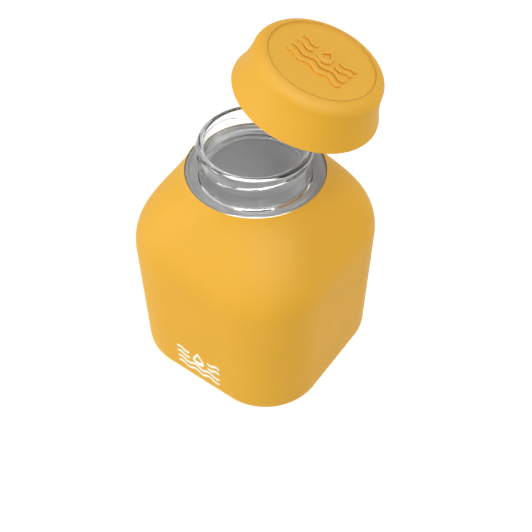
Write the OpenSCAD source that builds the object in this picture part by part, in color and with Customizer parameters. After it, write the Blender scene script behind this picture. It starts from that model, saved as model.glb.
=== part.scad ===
// Small square water bottle with a screw cap, shown with the cap lifted off and held askew above the neck.
// The origin is the middle of the underside. Z is up. Lengths are in millimetres.

/* [Body] */
// Width of the square body across its flat sides
body_w = 76; // [72:1:84]
// Radius of the body's four upright corners
corner_r = 22.9; // [18:0.1:26]
// Height at which the straight sides end and the shoulder starts
side_h = 51; // [44:0.5:60]
// Height of the shoulder's round upper edge
edge_z = 83.4; // [80:0.1:92]
// Radius of the shoulder's round upper edge
edge_r = 24.5; // [24:0.1:26]
// Slope of the shoulder at its upper edge, from level
edge_slope = 68; // [55:1:75]
// Thickness of the soft outer jacket
jacket_t = 1.5; // [1:0.1:2]
// Thickness of the clear vessel's wall and floor
vessel_t = 1.8; // [1.4:0.1:2.4]

/* [Neck] */
// Outer radius of the neck
neck_r = 19.5; // [19:0.1:19.6]
// Height of the neck's rim above the shoulder's upper edge
neck_h = 11.7; // [11:0.1:11.9]
// Thickness of the neck's wall
neck_t = 2.1; // [1.6:0.1:2.6]
// Depth of the ledge between the neck and the shoulder's edge
ledge_drop = 1.9; // [1.6:0.1:2.4]

/* [Thread] */
// Rise of the thread in one full turn
lead = 9; // [9:0.5:10]
// Number of thread starts
starts = 3; // [3:1:3]
// Height of the neck's thread ridges over the neck
ridge_h = 0.7; // [0.5:0.05:0.75]
// Turn that screws the cap down
screw_turn = 264; // [255:1:280]

/* [Cap] */
// Height of the cap
cap_h = 14.8; // [14.6:0.1:16]
// Radius of the cap's straight upper wall
cap_r = 21.3; // [21.2:0.1:22]
// Radius of the round inlay in the cap's top
disc_r = 17; // [14:0.1:17.1]
// Thickness of the silicone seal
seal_t = 1.4; // [1.2:0.1:1.5]

/* [Lifted cap] */
// Middle of the lifted cap's rim, from the bottle's axis
lift_x = 13; // [12:0.1:15]
// Middle of the lifted cap's rim, from the bottle's axis
lift_y = 9.7; // [8:0.1:11]
// Height of the middle of the lifted cap's rim
lift_z = 113; // [112:0.1:120]
// Lean of the lifted cap from level
lift_lean = 17.5; // [14:0.1:19]
// Compass direction of the lean, from +X towards +Y
lift_dir = 24; // [15:1:35]

/* [Hidden] */
$fn = 96;

half_w = body_w / 2;
gap = 0.1;              // between pieces that lie against each other
play = 0.3;             // between pieces that turn past each other

// Shoulder curve, from the straight side's top to the round edge
side_handle = 13.5;
edge_handle = 13.8;
round_power = 2.3;      // how late the square turns into a circle
shoulder_steps = 13;
corner_steps = 9;
foot_r = 1;             // rounding of the foot's edge

edge_lip = 0.5;         // width of the jacket's lip at its upper edge
vessel_inset = jacket_t + gap;
cavity_inset = vessel_inset + vessel_t;
ledge_z = edge_z - ledge_drop;
rim_z = edge_z + neck_h;
bore_r = neck_r - neck_t;
rim_round = 0.8;
neck_root = 3;          // how far the neck's solid reaches down into the body's wall

// Neck thread: each start runs over ridge_span, from the low end at first_start
first_start = -98;
ridge_span = 110;
ridge_low = 6.8;        // middle of a ridge's low end, above the shoulder's edge
ridge_half = 0.85;      // half the ridge's height at its root
ridge_crest = 0.3;      // half the ridge's height at its crest
ridge_steps = 22;
run_out = 18;           // turn over which a ridge fades at each end

// Cap thread: ridges half a pitch under the neck's
pitch = lead / starts;
cap_span = 62;
cap_offset = 18;        // turn from a neck ridge's low end to the cap ridge under it, cap closed
cap_ridge_h = 0.6;
cap_ridge_half = 0.6;
screw_drop = lead * screw_turn / 360;
cap_bore_r = neck_r + ridge_h + play;

// Cap wall: its flared curve ends at cap_waist_z, and the rounded top edge starts there
cap_wall = 1.0;
cap_mouth_handle = [-0.8, 1.7];
cap_waist_handle = [0.5, -5.1];
cap_waist_z = 11.4;
cap_top_round = 4.1;
ceiling_bevel = 0.8;
cap_steps = 14;
disc_t = 0.9;
seal_z = neck_h;                    // seal's underside, above the rim plane of a closed cap
ceiling_z = neck_h + seal_t + gap;
insert_low = 1.2;
insert_top = 7.7;
insert_taper_z = 3.6;   // the insert's bore widens below this height
insert_lip = 0.9;
seal_out_r = neck_r - 0.1;
seal_in_r = bore_r - 0.4;

function bez(a, b, c, d, t) =
    pow(1 - t, 3) * a + 3 * pow(1 - t, 2) * t * b + 3 * (1 - t) * t * t * c + pow(t, 3) * d;
function bez_d(a, b, c, d, t) =
    3 * pow(1 - t, 2) * (b - a) + 6 * (1 - t) * t * (c - b) + 3 * t * t * (d - c);
function smooth(t) = t * t * (3 - 2 * t);

// Shoulder points, as [half width, height]
s0 = [half_w, side_h];
s1 = [half_w, side_h + side_handle];
s2 = [edge_r + edge_handle * cos(edge_slope), edge_z - edge_handle * sin(edge_slope)];
s3 = [edge_r, edge_z];

// One level of the body: [half width, height, corner radius], moved in from the outer skin by inset
function level(t, inset) =
    let (p = bez(s0, s1, s2, s3, t),
         d = bez_d(s0, s1, s2, s3, t),
         n = [d[1], -d[0]] / norm(d),
         w = smooth(pow(t, round_power)),
         corner = p[0] * (corner_r / half_w * (1 - w) + w))
    [p[0] - inset * n[0], p[1] - inset * n[1], corner - inset * n[0]];

function foot(inset, z0) =
    [for (a = [0, 45, 90])
        let (r = foot_r, in = inset + r * (1 - sin(a)))
        [half_w - in, z0 + r * (1 - cos(a)), corner_r - in]];

function body_levels(inset, z0) = concat(
    foot(inset, z0),
    [for (i = [0 : shoulder_steps]) level(i / shoulder_steps, inset)]);

function ring_points(lv) =
    let (m = lv[0] - lv[2])
    [for (q = [0 : 3], i = [0 : corner_steps])
        let (a = q * 90 + 90 * i / corner_steps,
             cx = (q == 0 || q == 3) ? m : -m,
             cy = (q < 2) ? m : -m)
        [cx + lv[2] * cos(a), cy + lv[2] * sin(a), lv[1]]];

// Closed solid through a stack of rings that all have n points
function skin_faces(n, rings) = concat(
    [[for (i = [0 : n - 1]) i]],
    [for (k = [0 : rings - 2], i = [0 : n - 1])
        let (j = (i + 1) % n, a = k * n, b = a + n)
        each [[a + i, b + i, b + j], [a + i, b + j, a + j]]],
    [[for (i = [n - 1 : -1 : 0]) (rings - 1) * n + i]]);

// min_gap keeps the four arcs of a full circle from sharing a point
min_gap = 0.02;
function safe(lv) = [lv[0], lv[1], min(lv[2], lv[0] - min_gap)];

module body_solid(inset, z0) {
    levels = body_levels(inset, z0);
    n = 4 * (corner_steps + 1);
    polyhedron(
        points = [for (lv = levels) each ring_points(safe(lv))],
        faces = skin_faces(n, len(levels)),
        convexity = 4);
}

// Helical ridge on a wall of radius r. side is 1 for a ridge on the outside and -1 for one on the inside.
module ridge(r, side, start, z, span, height, root, crest) {
    sunk = 0.25;        // reach into the wall
    faded = 0.06;       // share of the section that is left at each end
    section = [for (i = [0 : ridge_steps])
        let (a = start + span * i / ridge_steps,
             from_end = min(i, ridge_steps - i) * span / ridge_steps,
             f = max(faded, smooth(min(1, from_end / run_out))),
             zc = z + lead * (a - start) / 360,
             r0 = r - side * sunk,
             r1 = r + side * height * f)
        each [[r0 * cos(a), r0 * sin(a), zc - root * f],
              [r1 * cos(a), r1 * sin(a), zc - crest * f],
              [r1 * cos(a), r1 * sin(a), zc + crest * f],
              [r0 * cos(a), r0 * sin(a), zc + root * f]]];
    // the section runs the other way round on an outside wall
    faces = skin_faces(4, ridge_steps + 1);
    polyhedron(
        points = section,
        faces = side < 0 ? faces : [for (f = faces) [for (i = [len(f) - 1 : -1 : 0]) f[i]]],
        convexity = 6);
}

// Puts a piece of the closed cap, drawn from the cap's rim plane, where the lifted cap is
module lifted(along = 0) {
    translate([lift_x, lift_y, lift_z])
        rotate([0, 0, lift_dir])
            rotate([0, lift_lean, 0])
                rotate([0, 0, -lift_dir])
                    translate([0, 0, along])
                        children();
}

// Outer profile of the cap, from the rim up to the flat top
cap_rim_pt = [edge_r, 0];
cap_waist_pt = [cap_r, cap_waist_z];
cap_curve = [for (i = [0 : cap_steps])
    bez(cap_rim_pt, cap_rim_pt + cap_mouth_handle, cap_waist_pt + cap_waist_handle, cap_waist_pt,
        i / cap_steps)];
cap_shoulder = [for (i = [1 : 8])
    let (a = 90 * i / 8)
    [cap_r - cap_top_round * (1 - cos(a)), cap_waist_z + (cap_h - cap_waist_z) * sin(a)]];
inner_curve = [for (p = cap_curve) if (p[1] <= insert_top) [max(cap_bore_r, p[0] - cap_wall), p[1]]];

module cap_shell() {
    color("#f2bb50")
        lifted()
            difference() {
                rotate_extrude()
                    polygon(concat(
                        cap_curve,
                        cap_shoulder,
                        [[0, cap_h], [0, ceiling_z], [cap_bore_r - ceiling_bevel, ceiling_z],
                         [cap_bore_r, ceiling_z - ceiling_bevel], [cap_bore_r, insert_top]],
                        [for (i = [len(inner_curve) - 1 : -1 : 0]) inner_curve[i]]));
                translate([0, 0, cap_h - disc_t])
                    cylinder(r = disc_r, h = disc_t + 1);
            }
}

module cap_disc() {
    color("#f0b851")
        lifted(cap_h - disc_t)
            cylinder(r = disc_r - gap, h = disc_t - gap);
}

module thread_insert() {
    outside = [for (p = inner_curve) if (p[1] >= insert_low) [p[0] - gap / 2, p[1]]];
    top_z = outside[len(outside) - 1][1];
    low = ridge_low - pitch / 2 + lead * cap_offset / 360;
    // the cap is drawn unscrewed, so its ridges are a screw_turn ahead of where they end up
    first = first_start + cap_offset + screw_turn;
    color("#e8e6e0")
        lifted()
            union() {
                rotate_extrude()
                    polygon(concat(
                        outside,
                        [[cap_bore_r, top_z], [cap_bore_r, insert_taper_z],
                         [outside[0][0] - insert_lip, outside[0][1]]]));
                for (k = [0 : starts - 1])
                    ridge(cap_bore_r, -1, first + k * 360 / starts, low,
                        cap_span, cap_ridge_h, cap_ridge_half, ridge_crest);
            }
}

module seal_ring() {
    color("#dcdcd8")
        lifted(seal_z - screw_drop)
            difference() {
                cylinder(r = seal_out_r, h = seal_t);
                translate([0, 0, -1])
                    cylinder(r = seal_in_r, h = seal_t + 2);
            }
}

// Flat ring with a channel round it, an outer lip as high as the jacket's edge and a low inner lip
module collar_ring() {
    out_r = edge_r - edge_lip - 2 * gap;
    in_r = neck_r + play;
    top = ledge_drop - 2 * gap;
    lip_r = 0.45;
    low = 0.6;
    color("#b9bcbc")
        translate([0, 0, ledge_z + gap])
            rotate_extrude()
                polygon(concat(
                    [[in_r, 0], [out_r, 0]],
                    [for (a = [0 : 30 : 180]) [out_r - lip_r + lip_r * cos(a), top - lip_r + lip_r * sin(a)]],
                    [for (i = [1 : 8])
                        let (t = i / 8, w = out_r - 2 * lip_r - in_r)
                        [out_r - 2 * lip_r - w * t, low + (top - lip_r - low) * pow(1 - t, 3)]]));
}

module vessel() {
    color([0.85, 0.88, 0.88, 0.6])
        difference() {
            union() {
                intersection() {
                    body_solid(vessel_inset, vessel_inset);
                    cylinder(r = body_w, h = ledge_z);
                }
                translate([0, 0, ledge_z - neck_root])
                    cylinder(r = neck_r, h = rim_z - ledge_z + neck_root - rim_round);
                translate([0, 0, rim_z - rim_round])
                    rotate_extrude()
                        union() {
                            square([neck_r - rim_round, rim_round]);
                            translate([neck_r - rim_round, 0])
                                intersection() {
                                    circle(r = rim_round);
                                    square(rim_round);
                                }
                        }
                for (k = [0 : starts - 1])
                    ridge(neck_r, 1, first_start + k * 360 / starts, edge_z + ridge_low,
                        ridge_span, ridge_h, ridge_half, ridge_crest);
            }
            intersection() {
                body_solid(cavity_inset, cavity_inset);
                cylinder(r = body_w, h = ledge_z - vessel_t);
            }
            translate([0, 0, side_h])
                cylinder(r = bore_r, h = rim_z);
        }
}

module jacket() {
    color("#f2bb50")
        difference() {
            body_solid(0, 0);
            body_solid(jacket_t, jacket_t);
            translate([0, 0, side_h])
                cylinder(r = edge_r - edge_lip, h = edge_z);
        }
}

jacket();
vessel();
collar_ring();
seal_ring();
cap_shell();
cap_disc();
thread_insert();
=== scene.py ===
"""Looks of the kids water bottle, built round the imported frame.

The pieces are worked out in millimetres, which MM turns into metres. The stage is in metres.
"""
import math

import bpy
from mathutils import Matrix, Vector

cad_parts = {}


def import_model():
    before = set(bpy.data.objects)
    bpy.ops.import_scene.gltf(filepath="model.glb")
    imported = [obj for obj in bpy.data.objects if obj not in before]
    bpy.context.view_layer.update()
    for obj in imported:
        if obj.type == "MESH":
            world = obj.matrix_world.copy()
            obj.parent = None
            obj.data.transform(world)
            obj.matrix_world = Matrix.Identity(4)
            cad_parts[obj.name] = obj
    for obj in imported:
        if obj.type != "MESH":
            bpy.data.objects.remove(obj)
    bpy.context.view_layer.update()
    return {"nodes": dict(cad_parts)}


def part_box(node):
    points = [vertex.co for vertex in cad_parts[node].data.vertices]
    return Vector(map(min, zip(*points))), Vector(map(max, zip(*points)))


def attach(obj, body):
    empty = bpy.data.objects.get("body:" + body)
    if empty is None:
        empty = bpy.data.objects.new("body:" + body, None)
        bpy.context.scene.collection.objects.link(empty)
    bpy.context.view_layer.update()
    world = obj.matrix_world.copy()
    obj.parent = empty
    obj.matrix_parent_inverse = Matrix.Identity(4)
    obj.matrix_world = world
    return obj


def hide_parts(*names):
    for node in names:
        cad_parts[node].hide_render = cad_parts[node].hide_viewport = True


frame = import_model()

MM = 0.001
AROUND = 288  # points round every ring
AXIS_R = 0.01  # radius that stands for the axis in a closed profile
SLIVER = 0.02  # kept between two meshes that would otherwise share a face


def lo_mm(node):
    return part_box(node)[0] / MM


def hi_mm(node):
    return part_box(node)[1] / MM


# ---- sizes, as in the part's own source -------------------------------------------------------
HALF_W = hi_mm("jacket").x
EDGE_Z = hi_mm("jacket").z
CORNER_R = 22.9
SIDE_H = 51.0
EDGE_R = 24.5
EDGE_SLOPE = math.radians(68)
SIDE_HANDLE = 13.5
EDGE_HANDLE = 13.8
ROUND_POWER = 2.3  # how late the square turns into a circle
JACKET_T = 1.5
VESSEL_T = 1.8
GAP = 0.1
LIP_SHOWN = 0.28  # the jacket's feather edge, thinner than the lip of the source
FOOT_R = 1.0

NECK_R = 19.5
NECK_T = 2.1
BORE_R = NECK_R - NECK_T
RIM_Z = hi_mm("vessel").z
LEDGE_Z = lo_mm("collar_ring").z - GAP
LEDGE_DROP = EDGE_Z - LEDGE_Z
VESSEL_INSET = JACKET_T + GAP
CAVITY_INSET = VESSEL_INSET + VESSEL_T

LEAD = 9.0
STARTS = 3
RIDGE_H = 0.7
RIDGE_FIRST = -98.0
RIDGE_SPAN = 110.0
RIDGE_LOW = EDGE_Z + 6.8
RIDGE_ROOT = 0.85  # half a ridge's height at its root
RIDGE_CREST = 0.3  # half a ridge's height at its crest
RUN_OUT = 18.0  # turn over which a ridge fades at each end

CAP_H = 14.8
CAP_R = 21.3
CAP_WALL = 1.0
CAP_WAIST_Z = 11.4
CAP_MOUTH_HANDLE = (-0.8, 1.7)
CAP_WAIST_HANDLE = (0.5, -5.1)
CAP_TOP_ROUND = 4.1
PLAY = 0.3
CAP_BORE_R = NECK_R + RIDGE_H + PLAY
CAP_CEILING = 13.2
DISC_R = 17.0
DISC_T = 0.9
DISC_DROP = 0.34  # the inlay's top below the cap's
SEAM_R = 0.42  # rounding of the cap's edge round the inlay

LIFT = Vector((13.0, 9.7, 113.0))
LIFT_LEAN = math.radians(17.5)
LIFT_DIR = math.radians(24)
CAP_POSE = (
    Matrix.Translation(LIFT)
    @ Matrix.Rotation(LIFT_DIR, 4, "Z")
    @ Matrix.Rotation(LIFT_LEAN, 4, "Y")
    @ Matrix.Rotation(-LIFT_DIR, 4, "Z")
)


# ---- curves -----------------------------------------------------------------------------------
def bezier(a, b, c, d, t):
    s = 1 - t
    return [s**3 * p + 3 * s * s * t * q + 3 * s * t * t * r + t**3 * w for p, q, r, w in zip(a, b, c, d)]


def bezier_slope(a, b, c, d, t):
    s = 1 - t
    return [
        3 * s * s * (q - p) + 6 * s * t * (r - q) + 3 * t * t * (w - r) for p, q, r, w in zip(a, b, c, d)
    ]


def smooth(t):
    t = min(1.0, max(0.0, t))
    return t * t * (3 - 2 * t)


def steps(count, first=0.0, last=1.0):
    """count + 1 evenly spaced values from first to last."""
    return [first + (last - first) * i / count for i in range(count + 1)]


SHOULDER = (
    (HALF_W, SIDE_H),
    (HALF_W, SIDE_H + SIDE_HANDLE),
    (EDGE_R + EDGE_HANDLE * math.cos(EDGE_SLOPE), EDGE_Z - EDGE_HANDLE * math.sin(EDGE_SLOPE)),
    (EDGE_R, EDGE_Z),
)


def level(t, inset=0.0):
    """(half width, height, corner radius) of the body at t along the shoulder, moved in by inset."""
    half, z = bezier(*SHOULDER, t)
    dx, dz = bezier_slope(*SHOULDER, t)
    length = math.hypot(dx, dz)
    nx, nz = dz / length, -dx / length
    rounded = smooth(t**ROUND_POWER)
    corner = half * (CORNER_R / HALF_W * (1 - rounded) + rounded)
    return half - inset * nx, z - inset * nz, corner - inset * nx


def foot(inset, z0, radius, count=6):
    """Levels of the rounded edge between the floor and the straight sides."""
    out = []
    for a in steps(count, 0, math.pi / 2):
        back = inset + radius * (1 - math.sin(a))
        out.append((HALF_W - back, z0 + radius * (1 - math.cos(a)), CORNER_R - back))
    return out


def square_ring(half, z, corner):
    """Ring of points round a rounded square, evenly spaced in direction."""
    points = []
    flat = half - corner
    for i in range(AROUND):
        phi = 2 * math.pi * i / AROUND
        c, s = abs(math.cos(phi)), abs(math.sin(phi))
        big, small = max(c, s), min(c, s)
        if small / big * half <= flat:
            r = half / big
        else:
            r = flat * (c + s) + math.sqrt(max(0.0, corner**2 - flat**2 * (1 - 2 * c * s)))
        points.append((r * math.cos(phi), r * math.sin(phi), z))
    return points


def round_ring(radius, z, bump=None):
    """Ring of points round a circle. bump(angle, z) is added to the radius."""
    points = []
    for i in range(AROUND):
        phi = 2 * math.pi * i / AROUND
        r = radius + (bump(math.degrees(phi), z) if bump else 0)
        points.append((r * math.cos(phi), r * math.sin(phi), z))
    return points


# ---- meshes -----------------------------------------------------------------------------------
def mesh_piece(name, points, faces, materials, face_material=None, pose=None):
    mesh = bpy.data.meshes.new(name)
    place = pose or Matrix.Identity(4)
    mesh.from_pydata([(place @ Vector(p)) * MM for p in points], [], faces)
    for m in materials:
        mesh.materials.append(m)
    for i, poly in enumerate(mesh.polygons):
        poly.use_smooth = True
        if face_material:
            poly.material_index = face_material[i]
    mesh.update()
    obj = bpy.data.objects.new(name, mesh)
    bpy.context.scene.collection.objects.link(obj)
    return obj


def skin(name, rings, materials, ring_material=None, closed=False, pose=None):
    """Surface through rings of equal length.

    Each end is closed with a fan, unless closed is set, which joins the last ring to the first.
    """
    n = len(rings[0])
    points = [p for ring in rings for p in ring]
    faces, marks = [], []
    last = len(rings) if closed else len(rings) - 1
    for k in range(last):
        a, b = k * n, (k + 1) % len(rings) * n
        for i in range(n):
            j = (i + 1) % n
            faces.append((a + i, a + j, b + j, b + i))
            marks.append(ring_material[k] if ring_material else 0)
    if not closed:
        for k, turn in ((0, True), (len(rings) - 1, False)):
            centre = len(points)
            ring = rings[k]
            points.append(tuple(sum(p[c] for p in ring) / n for c in range(3)))
            for i in range(n):
                j = (i + 1) % n
                pair = (k * n + j, k * n + i) if turn else (k * n + i, k * n + j)
                faces.append((centre, *pair))
                marks.append(ring_material[min(k, last - 1)] if ring_material else 0)
    return mesh_piece(name, points, faces, materials, marks, pose)


def revolve(name, profile, material, pose=None):
    """Closed ring of revolution. profile is a loop of (radius, height), anticlockwise."""
    return skin(name, [round_ring(r, z) for r, z in profile], [material], closed=True, pose=pose)


def arc(cr, cz, radius, first, last, count=8, squash=1.0):
    """Points (radius, height) on an arc round (cr, cz), with angles in degrees."""
    out = []
    for a in steps(count, math.radians(first), math.radians(last)):
        out.append((cr + radius * math.cos(a), cz + radius * squash * math.sin(a)))
    return out


# ---- materials --------------------------------------------------------------------------------
NOISE_RANGE = (0.3, 0.7)  # nearly all of a noise texture's values


class Nodes:
    """Shorthand for building one material's node tree."""

    def __init__(self, name):
        self.material = bpy.data.materials.new(name)
        self.material.use_nodes = True
        self.tree = self.material.node_tree
        self.shader = self.tree.nodes["Principled BSDF"]

    def add(self, kind, **values):
        node = self.tree.nodes.new(kind)
        for key, value in values.items():
            if key in node.inputs:
                node.inputs[key].default_value = value
            else:
                setattr(node, key, value)
        return node

    def link(self, out, socket):
        self.tree.links.new(out, socket)

    def set(self, **values):
        for key, value in values.items():
            self.shader.inputs[key.replace("_", " ")].default_value = value

    def noise(self, scale, detail):
        place = self.tree.nodes.get("place") or self.add("ShaderNodeTexCoord", name="place")
        node = self.add("ShaderNodeTexNoise", Scale=scale, Detail=detail)
        self.link(place.outputs["Object"], node.inputs["Vector"])
        return node.outputs["Fac"]

    def ramp(self, value, first=0.0, last=1.0):
        """The noise, spread out from first to last."""
        node = self.add("ShaderNodeMapRange")
        for key, number in zip(("From Min", "From Max", "To Min", "To Max"), (*NOISE_RANGE, first, last)):
            node.inputs[key].default_value = number
        self.link(value, node.inputs["Value"])
        return node.outputs["Result"]

    def tint(self, value, first, last):
        node = self.add("ShaderNodeMix", data_type="RGBA")
        node.inputs["A"].default_value = (*first, 1)
        node.inputs["B"].default_value = (*last, 1)
        self.link(value, node.inputs["Factor"])
        self.link(node.outputs["Result"], self.shader.inputs["Base Color"])

    def bump(self, value, depth_mm):
        node = self.add("ShaderNodeBump", Distance=depth_mm * MM)
        self.link(value, node.inputs["Height"])
        self.link(node.outputs["Normal"], self.shader.inputs["Normal"])


def soft_touch(name, colour, dark):
    """Matte soft-touch paint: a fine grain, a faint mottle and a soft sheen."""
    n = Nodes(name)
    n.tint(n.ramp(n.noise(60, 2)), colour, dark)
    n.link(n.ramp(n.noise(900, 2), 0.62, 0.74), n.shader.inputs["Roughness"])
    n.bump(n.noise(5200, 2), 0.012)
    n.set(Sheen_Weight=0.17, Sheen_Roughness=0.38, Specular_IOR_Level=0.15)
    n.shader.inputs["Sheen Tint"].default_value = (1.0, 0.93, 0.85, 1)
    return n.material


def clear_plastic(name):
    """Clear rigid plastic, very slightly uneven in its gloss."""
    n = Nodes(name)
    n.set(Transmission_Weight=1.0, IOR=1.5)
    n.shader.inputs["Base Color"].default_value = (0.97, 0.975, 0.975, 1)
    n.link(n.ramp(n.noise(300, 3), 0.0, 0.02), n.shader.inputs["Roughness"])
    return n.material


def moulded(name, colour, dark, rough, coat=0.0):
    """Plain moulded plastic with a faint flow mottle."""
    n = Nodes(name)
    n.tint(n.ramp(n.noise(45, 2)), colour, dark)
    n.link(n.ramp(n.noise(700, 3), rough - 0.04, rough + 0.06), n.shader.inputs["Roughness"])
    n.bump(n.noise(1800, 2), 0.004)
    n.set(Coat_Weight=coat, Coat_Roughness=0.05)
    return n.material


def silicone(name):
    """Milky silicone that lets some light in."""
    n = Nodes(name)
    n.tint(n.ramp(n.noise(200, 2)), (0.78, 0.78, 0.75), (0.72, 0.72, 0.7))
    n.set(Subsurface_Weight=0.4, Roughness=0.45)
    n.shader.inputs["Subsurface Radius"].default_value = (0.002, 0.002, 0.002)
    n.bump(n.noise(2500, 2), 0.006)
    return n.material


YELLOW = (0.815, 0.422, 0.021)
YELLOW_DARK = (0.79, 0.408, 0.017)
M_JACKET = soft_touch("soft_touch_yellow", YELLOW, YELLOW_DARK)
M_CAP = soft_touch("cap_yellow", YELLOW, YELLOW_DARK)
# the cap's top is a lighter, paler copy of the same yellow: painted light and sheen for the light falling
# on the top
M_DISC_LIT = soft_touch("cap_top_yellow_lit", (0.84, 0.445, 0.029), (0.82, 0.433, 0.025))
M_CLEAR = clear_plastic("clear_plastic")
M_INNER = moulded("smoky_inside", (0.31, 0.31, 0.31), (0.29, 0.29, 0.29), 0.4)
M_COLLAR = moulded("smoky_collar", (0.31, 0.312, 0.31), (0.285, 0.287, 0.285), 0.12, 0.4)
# dark grey for the jacket's inside and the inner wall of its lip: painted shade for the gap between the
# lip and the collar
M_GAP_SHADE = moulded("painted_gap_shade", (0.2, 0.2, 0.2), (0.18, 0.18, 0.18), 0.4)
# paler grey for the seat under the clear neck: painted highlight, seen through the glass as the rim's
# bright band
M_SEAT_HIGHLIGHT = moulded("neck_seat_highlight", (0.5, 0.5, 0.5), (0.46, 0.46, 0.46), 0.3)
M_SEAL = silicone("silicone_seal")
M_INSERT = moulded("off_white_insert", (0.78, 0.76, 0.72), (0.74, 0.72, 0.68), 0.32)
M_PRINT = moulded("cream_print", (0.97, 0.93, 0.79), (0.95, 0.9, 0.75), 0.45)


# ---- pieces -----------------------------------------------------------------------------------
def jacket():
    """The jacket, soft-touch yellow outside and over its lip. Inside it is dark grey, painted shade for
    the gap round the collar.
    """
    opening = EDGE_R - LIP_SHOWN
    opening_drop = 2.9  # depth of the opening's upright wall
    lip_r = LIP_SHOWN / 2
    underside = 4.0  # width of the underside's outer band
    outer = foot(0, 0, FOOT_R)
    outer += [(HALF_W, z, CORNER_R) for z in steps(6, 6, SIDE_H - 3)]
    outer += [level(t) for t in steps(64, 0, 0.985)]
    rings = [square_ring(HALF_W - underside, 0, CORNER_R - underside)]
    rings += [square_ring(*row) for row in outer]
    rings += [round_ring(r, z) for r, z in arc(EDGE_R - lip_r, EDGE_Z - lip_r, lip_r, 20, 180, 8)]
    shade_start = len(rings) - 3  # the lip's last two steps and all inside get the dark grey painted gap shade
    rings += [round_ring(opening, z) for z in (EDGE_Z - 1, EDGE_Z - 2)]
    inner = [level(t, JACKET_T) for t in steps(40, 0.9, 0)]
    rings += [square_ring(*row) for row in inner if row[1] < EDGE_Z - opening_drop and row[0] > opening]
    rings += [square_ring(HALF_W - JACKET_T, z, CORNER_R - JACKET_T) for z in (SIDE_H / 2, 8)]
    rings += [square_ring(*row) for row in reversed(foot(JACKET_T, JACKET_T, FOOT_R))]
    # rows from shade_start on take the dark grey painted shade
    marks = [0 if k < shade_start else 1 for k in range(len(rings))]
    obj = skin("jacket_skin", rings, [M_JACKET, M_GAP_SHADE], marks)
    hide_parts("jacket")
    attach(obj, "bottle")


def thread_bump(angle, z):
    """How far the neck's three thread ridges stand out at this angle and height."""
    out = 0.0
    for k in range(STARTS):
        turn = (angle - RIDGE_FIRST - k * 360 / STARTS) % 360
        if turn > RIDGE_SPAN:
            continue
        fade = smooth(min(turn, RIDGE_SPAN - turn) / RUN_OUT)
        away = abs(z - RIDGE_LOW - LEAD * turn / 360)
        crest, root = RIDGE_CREST * fade, RIDGE_ROOT * fade + 0.01
        flank = min(1.0, max(0.0, (root - away) / (root - crest)))
        out = max(out, RIDGE_H * fade * (0.7 * flank + 0.3 * smooth(flank)))
    return out


def vessel_body():
    """The vessel below the ledge. The jacket hides its outside, so it is drawn smoky and opaque.

    The seat is the ring of the ledge that the clear neck stands on. It is paler as painted highlight, so
    that the glass rim above it shows bright.
    """
    ceiling = LEDGE_Z - VESSEL_T
    fillet = 0.8
    floor_r = 5.0
    floor_edge = CAVITY_INSET + 10.0  # inset of the flat floor's outer ring
    outer = foot(VESSEL_INSET, VESSEL_INSET, FOOT_R)
    outer += [row for row in (level(t, VESSEL_INSET) for t in steps(40)) if row[1] < LEDGE_Z - 0.3]
    rings = [square_ring(*row) for row in outer]
    ledge_r = outer[-1][0]
    rings += [round_ring(r, LEDGE_Z) for r in (ledge_r - 0.5, ledge_r - 1.2)]
    first_seat = len(rings)
    rings += [round_ring(r, LEDGE_Z) for r in (NECK_R + 0.5, BORE_R)]
    last_seat = len(rings) - 1
    rings += [round_ring(BORE_R, z) for z in (LEDGE_Z - 0.3, ceiling + 1)]
    rings += [round_ring(r, z) for r, z in arc(BORE_R + fillet, ceiling + fillet, fillet, 180, 270, 6)]
    inner = [row for row in (level(t, CAVITY_INSET) for t in steps(40, 1, 0)) if row[1] < ceiling - 0.2]
    rings += [round_ring(inner[0][0] - 0.5, ceiling)]
    rings += [square_ring(*row) for row in inner]
    rings += [square_ring(*row) for row in reversed(foot(CAVITY_INSET, CAVITY_INSET, floor_r, 10))]
    rings += [square_ring(HALF_W - floor_edge, CAVITY_INSET, CORNER_R - floor_edge)]
    # the seat rows take the paler painted-highlight grey
    marks = [1 if first_seat <= k < last_seat else 0 for k in range(len(rings))]
    obj = skin("vessel_body", rings, [M_INNER, M_SEAT_HIGHLIGHT], marks)
    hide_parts("vessel")
    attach(obj, "bottle")


def neck():
    """Clear neck with its three thread ridges and a thick rounded rim."""
    base = LEDGE_Z + SLIVER
    outer_r, inner_r, fillet = 1.2, 0.7, 0.25
    wall = steps(110, base + fillet + 0.2, RIM_Z - outer_r - 0.05)
    rings = [round_ring(r, z) for r, z in arc(NECK_R + fillet, base + fillet, fillet, 270, 180, 6)]
    rings += [round_ring(NECK_R, z, thread_bump) for z in wall]
    rings += [round_ring(r, z) for r, z in arc(NECK_R - outer_r, RIM_Z - outer_r, outer_r, 0, 90, 10)]
    rings += [round_ring(r, z) for r, z in arc(BORE_R + inner_r, RIM_Z - inner_r, inner_r, 90, 180, 8)]
    rings += [round_ring(BORE_R, z) for z in steps(8, RIM_Z - outer_r, base)]
    obj = skin("clear_neck", rings, [M_CLEAR], closed=True)
    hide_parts("vessel")
    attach(obj, "bottle")


def collar():
    """Glossy ring round the neck's foot: a bevelled outer edge and a dish that falls steeply behind it."""
    out_r = EDGE_R - LIP_SHOWN - 0.08
    in_r = NECK_R + 0.55
    top = LEDGE_DROP - 2 * GAP
    bevel, bevel_h = 1.0, 0.46
    dish, dish_depth, steepness = 0.5, top - 0.52, 4.5
    loop = [(in_r + 0.2, 0), (out_r - 0.1, 0), (out_r, 0.1), (out_r, top - 0.4)]
    loop += arc(out_r - bevel, top - bevel_h, bevel, 20, 95, 12, squash=bevel_h / bevel)
    edge = loop[-1][0]
    loop += [(edge - (edge - in_r) * t, dish + dish_depth * (1 - t) ** steepness) for t in steps(18)[1:]]
    loop += [(in_r, 0.2)]
    loop = [(r, z + LEDGE_Z + GAP) for r, z in loop]
    obj = revolve("collar_ring_gloss", loop, M_COLLAR)
    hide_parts("collar_ring")
    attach(obj, "collar")


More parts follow.
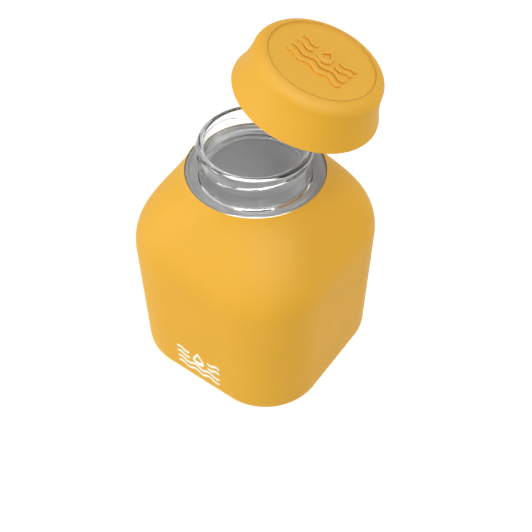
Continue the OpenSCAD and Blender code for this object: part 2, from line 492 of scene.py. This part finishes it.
def cap_outline():
    """Outer profile of the cap from its rim to the flat top."""
    mouth, waist = (EDGE_R, 0), (CAP_R, CAP_WAIST_Z)
    from_mouth = [a + b for a, b in zip(mouth, CAP_MOUTH_HANDLE)]
    to_waist = [a + b for a, b in zip(waist, CAP_WAIST_HANDLE)]
    wall = [bezier(mouth, from_mouth, to_waist, waist, t) for t in steps(48)]
    top = arc(CAP_R - CAP_TOP_ROUND, CAP_WAIST_Z, CAP_TOP_ROUND, 0, 90, 20,
              squash=(CAP_H - CAP_WAIST_Z) / CAP_TOP_ROUND)
    return [tuple(p) for p in wall] + top[1:]


def cap_shell():
    """The flared cap, with a recess for the inlay in its top."""
    outline = cap_outline()
    soft = 0.25  # rounding of the mouth's edges
    chamfer = 0.6
    flare_top = 9.0  # height where the inner wall has become the straight bore
    recess = CAP_H - DISC_T
    loop = arc(EDGE_R - soft, soft, soft, 270, 350, 5)
    loop += [p for p in outline if p[1] > soft * 1.2]
    loop += arc(DISC_R + SEAM_R, CAP_H - SEAM_R, SEAM_R, 90, 172, 8)
    loop += [(DISC_R, recess), (DISC_R / 2, recess), (AXIS_R, recess), (AXIS_R, CAP_CEILING)]
    loop += [(CAP_BORE_R - chamfer, CAP_CEILING), (CAP_BORE_R, CAP_CEILING - chamfer)]
    inner = [(max(CAP_BORE_R, r - CAP_WALL), z) for r, z in outline if z < flare_top]
    loop += list(reversed(inner))[:-1]
    loop += arc(EDGE_R - CAP_WALL + soft, soft, soft, 190, 260, 5)
    obj = revolve("cap_shell_skin", loop, M_CAP, CAP_POSE)
    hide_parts("cap_shell")
    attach(obj, "cap")


def drop_outline(width, height, count=72):
    """Closed outline of a falling drop, round below and pointed above, centred on its own middle."""
    points = []
    for i in range(count):
        a = 2 * math.pi * i / count
        x = width / 2 * 1.3 * math.sin(a) * math.sin(a / 2) ** 1.5
        points.append((x, height / 2 * math.cos(a)))
    return points


def wave_line(width, height, waves, count=60):
    """Points along a row of waves, centred on its middle."""
    return [(width * (t - 0.5), height / 2 * math.sin(2 * math.pi * waves * t)) for t in steps(count)]


def wave_sides(width, height, waves, line):
    """Left and right edges of a wave drawn with a line of this thickness, narrowed at its ends."""
    path = wave_line(width, height, waves)
    n = len(path)
    left, right = [], []
    for i, (x, y) in enumerate(path):
        before, after = path[max(0, i - 1)], path[min(n - 1, i + 1)]
        dx, dy = after[0] - before[0], after[1] - before[1]
        half = line / 2 * min(1, 0.25 + 0.35 * min(i, n - 1 - i)) / math.hypot(dx, dy)
        left.append((x - dy * half, y + dx * half))
        right.append((x + dy * half, y - dx * half))
    return left, right


def drop_sides(width, height, line):
    """Outer and inner edges of a drop drawn with a line of this thickness."""
    tall = 1.7 * line  # the pointed end needs more height for the same thickness
    return drop_outline(width + line, height + tall), drop_outline(width - line, height - tall)


def ribbon(name, left, right, raise_mm, material, place, closed):
    """Raised line between two edges, with rounded shoulders. place maps (x, y, height) into the frame."""
    sunk = 0.2
    half = [(0, -sunk), (0.01, raise_mm * 0.65), (0.05, raise_mm * 0.92), (0.13, raise_mm)]
    shape = half + [(1 - x, z) for x, z in reversed(half)]
    rings = []
    for (lx, ly), (rx, ry) in zip(left, right):
        rings.append([place(rx + (lx - rx) * s, ry + (ly - ry) * s, h) for s, h in shape])
    rings.reverse()
    return skin(name, rings, [material], closed=closed)


# Lines of the mark: name, then width, height and number of waves, then the middle. The drop has no waves.
MARK = (
    ("left_high", (5.8, 1.3, 1.0), (-7.2, 4.1)),
    ("right_high", (5.8, -1.3, 1.0), (7.2, 4.1)),
    ("left_low", (5.8, 1.3, 1.0), (-7.2, 1.0)),
    ("right_low", (5.8, -1.3, 1.0), (7.2, 1.0)),
    ("long_high", (20.2, 1.3, 3.0), (0, -2.3)),
    ("long_low", (20.2, 1.3, 3.0), (0, -5.3)),
    ("drop", (4.6, 5.6), (0, 2.9)),
)


def mark_lines(prefix, line, raise_mm, material, place, body):
    """A plain mark of a drop over water, in raised lines."""
    for part, sizes, (mx, my) in MARK:
        closed = part == "drop"
        edges = drop_sides(*sizes, line) if closed else wave_sides(*sizes, line)
        left, right = ([(x + mx, y + my) for x, y in edge] for edge in edges)
        obj = ribbon(f"{prefix}_{part}", left, right, raise_mm, material, place, closed)
        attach(obj, body)


def cap_disc():
    """The inlay in the cap's top, with the raised mark on it, both in a lighter yellow: painted light and
    sheen for the top's lighting.
    """
    r = DISC_R - 0.01
    under = CAP_H - DISC_T + SLIVER
    top = CAP_H - DISC_DROP
    chamfer = 0.15
    loop = [(AXIS_R, under), (r - chamfer, under), (r, under + chamfer), (r, top - 0.02), (r - 0.05, top)]
    loop += [(r * t, top) for t in (0.9, 0.7, 0.5, 0.3, 0.1)] + [(AXIS_R, top)]
    obj = revolve("cap_disc_skin", loop, M_DISC_LIT, CAP_POSE)
    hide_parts("cap_disc")
    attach(obj, "cap")

    def on_top(x, y, h):
        return tuple(CAP_POSE @ Vector((x, y, top + h)))

    # the mark takes the same lighter yellow, painted light for the top
    mark_lines("cap_mark", 1.4, 0.75, M_DISC_LIT, on_top, "cap")


def front_print():
    """The same mark, printed low on the flat front."""
    middle_z = 10.4
    ink = 0.1  # how much of a raised line's height the print keeps

    def on_front(x, y, h):
        return (x, -HALF_W - h * ink, y + middle_z)

    mark_lines("front_print", 1.35, 0.3, M_PRINT, on_front, "bottle")


jacket()
vessel_body()
neck()
collar()
cap_shell()
cap_disc()
front_print()
for node, material in (("seal_ring", M_SEAL), ("thread_insert", M_INSERT)):
    piece = frame["nodes"][node]
    piece.data.materials.clear()
    piece.data.materials.append(material)


# ---- stage, in metres -------------------------------------------------------------------------
MIDDLE = (0, 0, 0.05)


def floor():
    """Pale floor with some light of its own, a hair under the bottle."""
    size, z = 25.0, -0.0002
    corners = [(-size, -size, z), (size, -size, z), (size, size, z), (-size, size, z)]
    mesh = bpy.data.meshes.new("floor")
    mesh.from_pydata(corners, [], [(0, 1, 2, 3)])
    n = Nodes("floor_white")
    n.set(Roughness=0.9, Specular_IOR_Level=0)
    n.shader.inputs["Base Color"].default_value = (0.65, 0.65, 0.65, 1)
    n.shader.inputs["Emission Color"].default_value = (1, 1, 1, 1)
    n.set(Emission_Strength=0.58)
    mesh.materials.append(n.material)
    obj = bpy.data.objects.new("floor", mesh)
    bpy.context.scene.collection.objects.link(obj)
    obj.visible_diffuse = False


def area_light(name, where, target, size, watts, only_gloss=False):
    """Round soft light aimed at target. Where only_gloss is set, matte surfaces don't see it."""
    light = bpy.data.lights.new(name, "AREA")
    light.shape = "DISK"
    light.size = size
    light.energy = watts
    obj = bpy.data.objects.new(name, light)
    obj.location = where
    obj.rotation_euler = (Vector(target) - Vector(where)).to_track_quat("-Z", "Y").to_euler()
    obj.visible_diffuse = not only_gloss
    bpy.context.scene.collection.objects.link(obj)


def world(strength, seen):
    """White surroundings of one strength for lighting and another where they are seen directly."""
    w = bpy.data.worlds.new("studio")
    bpy.context.scene.world = w
    w.use_nodes = True
    back = w.node_tree.nodes["Background"]
    back.inputs["Color"].default_value = (1, 1, 1, 1)
    path = w.node_tree.nodes.new("ShaderNodeLightPath")
    pick = w.node_tree.nodes.new("ShaderNodeMapRange")
    pick.inputs["To Min"].default_value = strength
    pick.inputs["To Max"].default_value = seen
    w.node_tree.links.new(path.outputs["Is Camera Ray"], pick.inputs["Value"])
    w.node_tree.links.new(pick.outputs["Result"], back.inputs["Strength"])


def camera():
    """Camera that looks down at one of the body's upright corners."""
    azimuth, elevation = math.radians(35.762), math.radians(49.105)
    distance = 0.3012
    target = Vector((0.0103, -0.0082, 0.0466))
    level_back = Vector((math.sin(azimuth), -math.cos(azimuth), 0))
    back = level_back * math.cos(elevation) + Vector((0, 0, math.sin(elevation)))
    data = bpy.data.cameras.new("camera")
    data.lens = 56.0
    data.sensor_width = 36
    obj = bpy.data.objects.new("camera", data)
    obj.location = target + back * distance
    obj.rotation_euler = (-back).to_track_quat("-Z", "Y").to_euler()
    bpy.context.scene.collection.objects.link(obj)
    bpy.context.scene.camera = obj


def fill_light(name, where, radius, watts):
    """Lamp inside the vessel. It lights the walls and isn't seen itself."""
    light = bpy.data.lights.new(name, "POINT")
    light.shadow_soft_size = radius
    light.energy = watts
    obj = bpy.data.objects.new(name, light)
    obj.location = where
    obj.visible_camera = obj.visible_glossy = obj.visible_transmission = False
    bpy.context.scene.collection.objects.link(obj)


floor()
world(0.69, seen=1.0)
area_light("key", (-0.5, -0.87, 0.34), MIDDLE, size=0.5, watts=3.95)
area_light("top", (0.5, -0.05, 1.0), MIDDLE, size=0.6, watts=2.35)
area_light("gleam", (0.23, -0.26, 0.9), MIDDLE, size=1.05, watts=60, only_gloss=True)
area_light("side_gleam", (-0.75, -0.8, 0.12), (0, 0, 0.04), size=0.6, watts=14, only_gloss=True)
fill_light("inside_fill", (0.02, 0.021, 0.036), radius=0.008, watts=0.055)
camera()
bpy.context.scene.view_settings.view_transform = "Standard"
